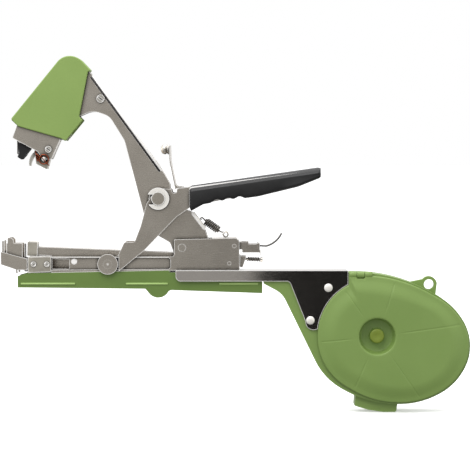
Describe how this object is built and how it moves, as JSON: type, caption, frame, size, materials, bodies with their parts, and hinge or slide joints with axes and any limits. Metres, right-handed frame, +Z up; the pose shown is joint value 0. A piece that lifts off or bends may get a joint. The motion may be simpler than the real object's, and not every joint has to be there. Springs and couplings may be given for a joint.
{
  "type": "plant tying pliers",
  "caption": "Hand-held plant tying pliers that loop a plastic tape round a stem and staple it, with a green tape case at the rear.",
  "frame": {"origin": "centre of the hang hole in the reel case, on the mid-plane of the arms", "axes": "+X from the nose towards the reel case, +Y towards the far side of the tool, +Z up from the base cover to the head"},
  "size_m": [0.3279, 0.028, 0.2489],
  "materials": {
    "green_case": "moulded satin green plastic",
    "nickel_steel": "nickel plated sheet steel",
    "cast_nickel": "cast and nickel plated",
    "chrome_bracket": "mirror bright plating",
    "black_grip": "black satin plastic",
    "pin_steel": "turned steel",
    "spring_steel": "oiled spring steel",
    "copper_wire": "red-brown lacquered wire",
    "black_rubber": "black rubber",
    "staple_wire": "glued staple wire",
    "card_core": "wound card",
    "tape_film": "thin plastic tape"
  },
  "bodies": {
    "root": {"reel_case_body": "green_case", "case_hinge_pin": "pin_steel", "main_handle_bracket": "chrome_bracket", "bracket_rivets": "pin_steel", "base_cover": "green_case", "lower_frame": "nickel_steel", "nose_cheeks": "cast_nickel", "nose_screws": "pin_steel", "tape_guide": "nickel_steel", "tape_posts": "nickel_steel", "tape_chute": "nickel_steel", "driver_plate": "spring_steel", "arm_pivot_pin": "pin_steel", "magazine_pivot_pin": "pin_steel", "latch_pin": "pin_steel", "spring_anchor": "pin_steel", "return_spring": "spring_steel", "magazine_lift_spring": "spring_steel"},
    "clincher_arm": {"clincher_arm": "nickel_steel", "head_cover": "green_case", "arm_screw": "pin_steel", "head_plate": "nickel_steel", "head_screws": "pin_steel", "clincher_jaw": "cast_nickel", "finger_pin": "pin_steel", "finger_spring": "copper_wire", "tape_pad": "black_rubber", "pad_carrier": "nickel_steel", "cutter_blade": "spring_steel", "handle_pivot_pin": "pin_steel", "pivot_bushes": "pin_steel", "pivot_clips": "pin_steel"},
    "tape_finger": {"tape_finger": "pin_steel"},
    "operating_handle": {"lever_channel": "nickel_steel", "slide_rollers": "pin_steel", "grip": "black_grip", "stop_leaf": "nickel_steel", "leaf_bumper": "black_rubber"},
    "magazine": {"magazine_channel": "nickel_steel", "magazine_front": "cast_nickel", "staple_stick": "staple_wire", "magazine_end_plate": "nickel_steel", "pusher_spring": "spring_steel"},
    "pusher": {"staple_pusher": "pin_steel", "pusher_knob": "pin_steel", "rod_spring": "spring_steel"},
    "latch_lever": {"latch_lever": "nickel_steel", "thumb_strip": "spring_steel"},
    "reel_cover": {"reel_cover": "green_case"},
    "tape_reel": {"reel_core": "card_core", "tape_roll": "tape_film"}
  },
  "joints": [
    {"name": "jaw_close", "type": "hinge", "parent": "root", "child": "clincher_arm", "pos_m": [-0.173, 0, 0.026], "axis": [0, -1, 0], "range_deg": [0, 27], "stiffness_Nm_per_rad": 0.8, "springref_deg": -22.92, "deforming": ["return_spring"]},
    {"name": "handle_squeeze", "type": "hinge", "parent": "clincher_arm", "child": "operating_handle", "pos_m": [-0.1894, 0, 0.0603], "axis": [0, -1, 0], "range_deg": [-43, 0]},
    {"name": "magazine_tilt", "type": "hinge", "parent": "root", "child": "magazine", "pos_m": [-0.14, 0, 0.0151], "axis": [0, -1, 0], "range_deg": [0, 2.5], "stiffness_Nm_per_rad": 3, "springref_deg": -2.86, "deforming": ["magazine_lift_spring"]},
    {"name": "pusher_slide", "type": "slide", "parent": "magazine", "child": "pusher", "axis": [0.9992, 0, -0.0407], "range_m": [0, 0.06], "stiffness_N_per_m": 60, "springref_m": -0.05, "deforming": ["pusher_spring", "rod_spring"]},
    {"name": "latch_lift", "type": "hinge", "parent": "root", "child": "latch_lever", "pos_m": [-0.1365, 0, 0.0272], "axis": [0, -1, 0], "range_deg": [0, 3.5], "stiffness_Nm_per_rad": 0.3, "springref_deg": -5.73},
    {"name": "finger_swing", "type": "hinge", "parent": "clincher_arm", "child": "tape_finger", "pos_m": [-0.274, 0, 0.0924], "axis": [0, -1, 0], "range_deg": [0, 12], "stiffness_Nm_per_rad": 0.02, "springref_deg": -5.73},
    {"name": "cover_open", "type": "hinge", "parent": "root", "child": "reel_cover", "pos_m": [-0.0485, -0.0096, 0.0072], "axis": [-1, 0, 0], "range_deg": [0, 110]},
    {"name": "reel_spin", "type": "hinge", "parent": "root", "child": "tape_reel", "pos_m": [-0.0369, 0, -0.0356], "axis": [0, 1, 0], "continuous": true}
  ],
  "couplings": [
    {"joint": "handle_squeeze", "follows": "jaw_close", "ratio": -1.59}
  ]
}
